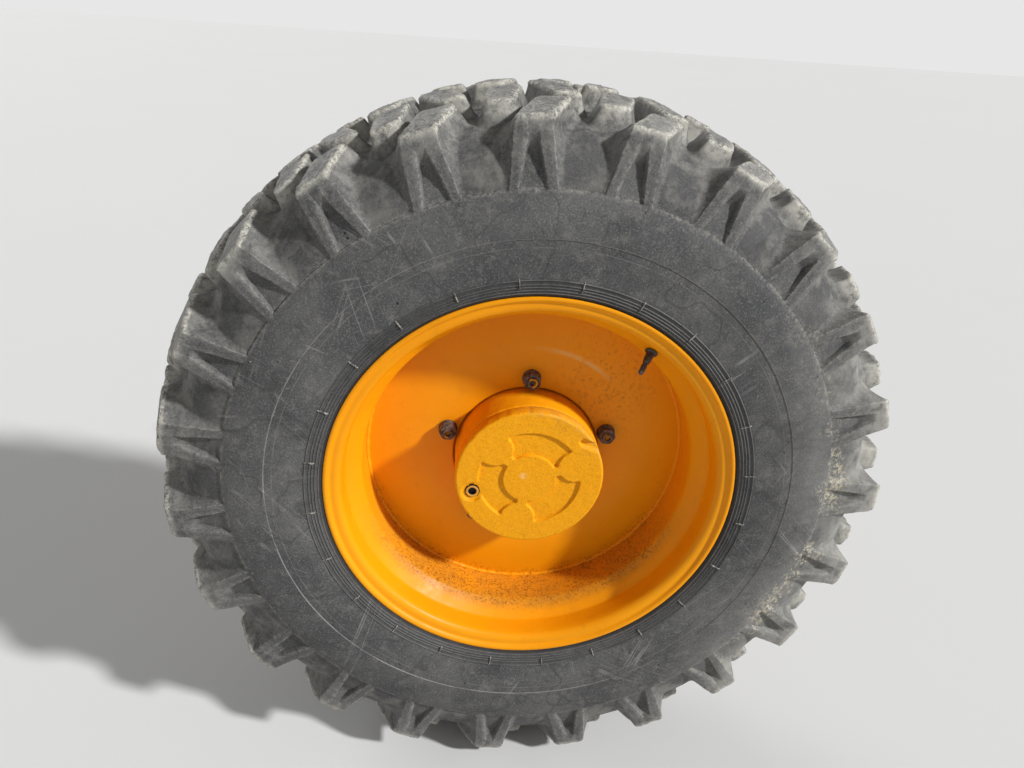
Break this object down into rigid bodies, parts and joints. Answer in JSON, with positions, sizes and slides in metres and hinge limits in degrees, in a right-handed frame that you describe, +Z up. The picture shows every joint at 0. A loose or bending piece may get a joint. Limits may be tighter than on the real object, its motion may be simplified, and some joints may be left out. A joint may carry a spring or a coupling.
{
  "type": "steered drive wheel end of a backhoe loader",
  "caption": "Lugged tyre on a dished steel wheel, with its hub and end cover, a knuckle on king pins and the axle arm with its bolted flange.",
  "frame": {"origin": "centre of the axle arm's inner flange face", "axes": "+Y points inboard along the axle, +Z is up, +X is the way the machine drives; the wheel is on the right-hand side"},
  "size_m": [1.4, 0.904, 1.4],
  "materials": {
    "tyre": "dusty, scratched",
    "paint": "satin, dirty",
    "cast_paint": "satin over a rough casting",
    "rusty_steel": "rusty",
    "black_steel": "satin",
    "steel": "satin",
    "rubber": "matte"
  },
  "bodies": {
    "axle": {"axle_arm": "cast_paint", "bushes": "steel", "shaft_seal": "rubber", "inner_yoke": "steel", "joint_cross": "steel"},
    "knuckle": {"knuckle": "cast_paint", "spindle": "steel", "spindle_bolts": "steel", "kingpin_upper": "steel", "kingpin_lower": "steel", "kingpin_bolts": "steel", "steering_arm": "cast_paint", "steering_arm_bolts": "steel", "stop_screws": "steel", "outer_yoke": "steel"},
    "wheel": {"tyre": "tyre", "rim": "paint", "wheel_disc": "paint", "wheel_nuts": "rusty_steel", "wheel_studs": "rusty_steel", "valve_stem": "rubber", "hub": "cast_paint", "end_cover": "cast_paint", "level_plug": "black_steel", "hub_seal": "rubber"}
  },
  "joints": [
    {"name": "steer", "type": "hinge", "parent": "axle", "child": "knuckle", "pos_m": [0, -0.525, 0], "axis": [0, 0, 1], "range_deg": [-28, 24]},
    {"name": "wheel_spin", "type": "hinge", "parent": "knuckle", "child": "wheel", "pos_m": [0, -0.6565, 0], "axis": [0, 1, 0], "continuous": true}
  ]
}
